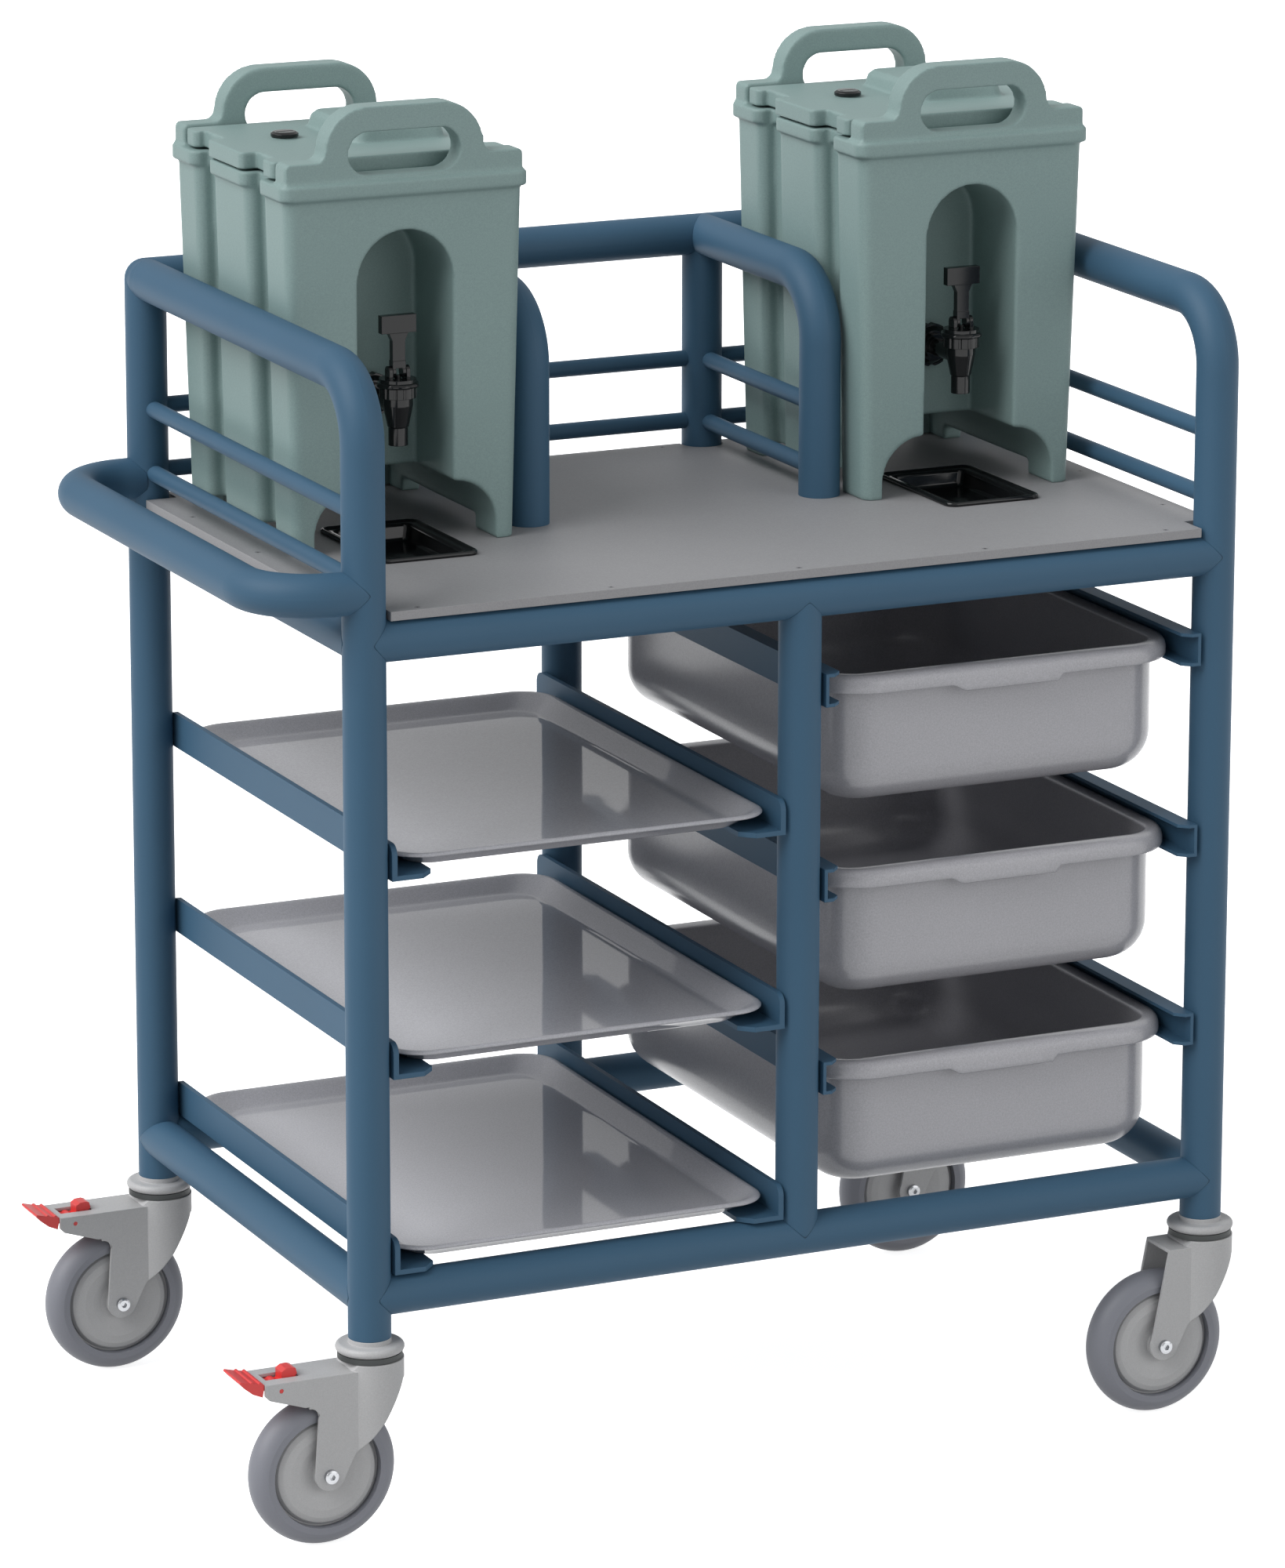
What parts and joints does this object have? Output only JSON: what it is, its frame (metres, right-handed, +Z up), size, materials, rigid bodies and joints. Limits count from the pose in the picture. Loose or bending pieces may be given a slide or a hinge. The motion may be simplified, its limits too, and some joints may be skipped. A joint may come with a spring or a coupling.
{
  "type": "urn trolley",
  "caption": "Tube-framed serving trolley on castors with insulated drink urns on a guarded deck, sliding trays and tubs below, and a push handle.",
  "frame": {"origin": "on the floor under the middle of the overall box, from pedal tips to the far castor rings and from front to back", "axes": "+X along the trolley away from the push handle, +Y from the tap side to the back, +Z up"},
  "size_m": [0.9884, 0.5718, 1.2298],
  "materials": {
    "frame_paint": "smooth blue-grey enamel",
    "board": "mid grey laminate with a fine grain",
    "steel": "bright plated steel",
    "seal": "dark rubber",
    "tyre": "grey rubber",
    "castor_paint": "light grey, fine grain",
    "hub": "light grey plastic, fine grain",
    "red_plastic": "red plastic",
    "tray": "grey, smooth",
    "tub": "light grey, smooth",
    "black_plastic": "gloss black",
    "urn": "grey-green with a fine moulded grain"
  },
  "bodies": {
    "frame": {"corner_posts_front": "frame_paint", "corner_posts_back": "frame_paint", "centre_posts": "frame_paint", "guard_rail_back": "frame_paint", "guard_bars": "frame_paint", "divider_hoops": "frame_paint", "divider_posts": "frame_paint", "deck_rails": "frame_paint", "base_rails": "frame_paint", "push_handle": "frame_paint", "deck_board": "board", "deck_screws": "steel", "tray_runners": "frame_paint", "tub_channels": "frame_paint", "castor_stems": "castor_paint", "castor_seals": "seal"},
    "castor_fl": {"castor_fork_fl": "castor_paint", "castor_axle_fl": "steel"},
    "wheel_fl": {"castor_tyre_fl": "tyre", "castor_hub_fl": "hub"},
    "pedal_fl": {"brake_pedal_fl": "red_plastic"},
    "castor_bl": {"castor_fork_bl": "castor_paint", "castor_axle_bl": "steel"},
    "wheel_bl": {"castor_tyre_bl": "tyre", "castor_hub_bl": "hub"},
    "pedal_bl": {"brake_pedal_bl": "red_plastic"},
    "castor_fr": {"castor_fork_fr": "castor_paint", "castor_axle_fr": "steel"},
    "wheel_fr": {"castor_tyre_fr": "tyre", "castor_hub_fr": "hub"},
    "castor_br": {"castor_fork_br": "castor_paint", "castor_axle_br": "steel"},
    "wheel_br": {"castor_tyre_br": "tyre", "castor_hub_br": "hub"},
    "tray_top": {"tray_top": "tray"},
    "tub_top": {"tub_top": "tub"},
    "tray_middle": {"tray_middle": "tray"},
    "tub_middle": {"tub_middle": "tub"},
    "tray_bottom": {"tray_bottom": "tray"},
    "tub_bottom": {"tub_bottom": "tub"},
    "pan_left": {"drip_pan_left": "black_plastic"},
    "urn_left": {"urn_body_left": "urn", "tap_body_left": "black_plastic", "tap_nut_left": "black_plastic", "tap_bonnet_left": "black_plastic"},
    "lid_left": {"urn_lid_left": "urn", "lid_gasket_left": "seal"},
    "vent_left": {"vent_cap_left": "black_plastic"},
    "lever_left": {"tap_lever_left": "black_plastic"},
    "stem_left": {"tap_stem_left": "black_plastic"},
    "pan_right": {"drip_pan_right": "black_plastic"},
    "urn_right": {"urn_body_right": "urn", "tap_body_right": "black_plastic", "tap_nut_right": "black_plastic", "tap_bonnet_right": "black_plastic"},
    "lid_right": {"urn_lid_right": "urn", "lid_gasket_right": "seal"},
    "vent_right": {"vent_cap_right": "black_plastic"},
    "lever_right": {"tap_lever_right": "black_plastic"},
    "stem_right": {"tap_stem_right": "black_plastic"}
  },
  "joints": [
    {"name": "swivel_fl", "type": "hinge", "parent": "frame", "child": "castor_fl", "pos_m": [-0.36425, -0.2555, 0.156], "axis": [0, 0, 1], "continuous": true},
    {"name": "roll_fl", "type": "hinge", "parent": "castor_fl", "child": "wheel_fl", "pos_m": [-0.41115, -0.2555, 0.0678], "axis": [0, 1, 0], "continuous": true},
    {"name": "brake_fl", "type": "hinge", "parent": "castor_fl", "child": "pedal_fl", "pos_m": [-0.45625, -0.2555, 0.1525], "axis": [0, -1, 0], "range_deg": [0, 12]},
    {"name": "swivel_bl", "type": "hinge", "parent": "frame", "child": "castor_bl", "pos_m": [-0.36425, 0.2555, 0.156], "axis": [0, 0, 1], "continuous": true},
    {"name": "roll_bl", "type": "hinge", "parent": "castor_bl", "child": "wheel_bl", "pos_m": [-0.41115, 0.2555, 0.0678], "axis": [0, 1, 0], "continuous": true},
    {"name": "brake_bl", "type": "hinge", "parent": "castor_bl", "child": "pedal_bl", "pos_m": [-0.45625, 0.2555, 0.1525], "axis": [0, -1, 0], "range_deg": [0, 12]},
    {"name": "swivel_fr", "type": "hinge", "parent": "frame", "child": "castor_fr", "pos_m": [0.46375, -0.2555, 0.156], "axis": [0, 0, 1], "continuous": true},
    {"name": "roll_fr", "type": "hinge", "parent": "castor_fr", "child": "wheel_fr", "pos_m": [0.41685, -0.2555, 0.0678], "axis": [0, 1, 0], "continuous": true},
    {"name": "swivel_br", "type": "hinge", "parent": "frame", "child": "castor_br", "pos_m": [0.46375, 0.2555, 0.156], "axis": [0, 0, 1], "continuous": true},
    {"name": "roll_br", "type": "hinge", "parent": "castor_br", "child": "wheel_br", "pos_m": [0.41685, 0.2555, 0.0678], "axis": [0, 1, 0], "continuous": true},
    {"name": "tray_top_slide", "type": "slide", "parent": "frame", "child": "tray_top", "axis": [0, -1, 0], "range_m": [0, 0.55]},
    {"name": "tub_top_slide", "type": "slide", "parent": "frame", "child": "tub_top", "axis": [0, -1, 0], "range_m": [0, 0.55]},
    {"name": "tray_middle_slide", "type": "slide", "parent": "frame", "child": "tray_middle", "axis": [0, -1, 0], "range_m": [0, 0.55]},
    {"name": "tub_middle_slide", "type": "slide", "parent": "frame", "child": "tub_middle", "axis": [0, -1, 0], "range_m": [0, 0.55]},
    {"name": "tray_bottom_slide", "type": "slide", "parent": "frame", "child": "tray_bottom", "axis": [0, -1, 0], "range_m": [0, 0.55]},
    {"name": "tub_bottom_slide", "type": "slide", "parent": "frame", "child": "tub_bottom", "axis": [0, -1, 0], "range_m": [0, 0.55]},
    {"name": "pan_left_lift", "type": "slide", "parent": "frame", "child": "pan_left", "axis": [0, 0, 1], "range_m": [0, 0.04]},
    {"name": "urn_left_lift", "type": "slide", "parent": "frame", "child": "urn_left", "axis": [0, 0, 1], "range_m": [0, 0.3]},
    {"name": "lid_left_lift", "type": "slide", "parent": "urn_left", "child": "lid_left", "axis": [0, 0, 1], "range_m": [0, 0.12]},
    {"name": "vent_left_turn", "type": "hinge", "parent": "lid_left", "child": "vent_left", "pos_m": [-0.28575, 0.108, 1.18225], "axis": [0, 0, 1], "range_deg": [0, 90]},
    {"name": "tap_left_lever", "type": "hinge", "parent": "urn_left", "child": "lever_left", "pos_m": [-0.23425, -0.025, 0.9888], "axis": [1, 0, 0], "range_deg": [0, 40], "stiffness_Nm_per_rad": 0.3},
    {"name": "tap_left_stem", "type": "slide", "parent": "urn_left", "child": "stem_left", "axis": [0, 0, 1], "range_m": [0, 0.003]},
    {"name": "pan_right_lift", "type": "slide", "parent": "frame", "child": "pan_right", "axis": [0, 0, 1], "range_m": [0, 0.04]},
    {"name": "urn_right_lift", "type": "slide", "parent": "frame", "child": "urn_right", "axis": [0, 0, 1], "range_m": [0, 0.3]},
    {"name": "lid_right_lift", "type": "slide", "parent": "urn_right", "child": "lid_right", "axis": [0, 0, 1], "range_m": [0, 0.12]},
    {"name": "vent_right_turn", "type": "hinge", "parent": "lid_right", "child": "vent_right", "pos_m": [0.27325, 0.108, 1.18225], "axis": [0, 0, 1], "range_deg": [0, 90]},
    {"name": "tap_right_lever", "type": "hinge", "parent": "urn_right", "child": "lever_right", "pos_m": [0.32475, -0.025, 0.9888], "axis": [1, 0, 0], "range_deg": [0, 40], "stiffness_Nm_per_rad": 0.3},
    {"name": "tap_right_stem", "type": "slide", "parent": "urn_right", "child": "stem_right", "axis": [0, 0, 1], "range_m": [0, 0.003]}
  ],
  "couplings": [
    {"joint": "tap_left_stem", "follows": "tap_left_lever", "m_per_rad": 0.0042},
    {"joint": "tap_right_stem", "follows": "tap_right_lever", "m_per_rad": 0.0042}
  ]
}
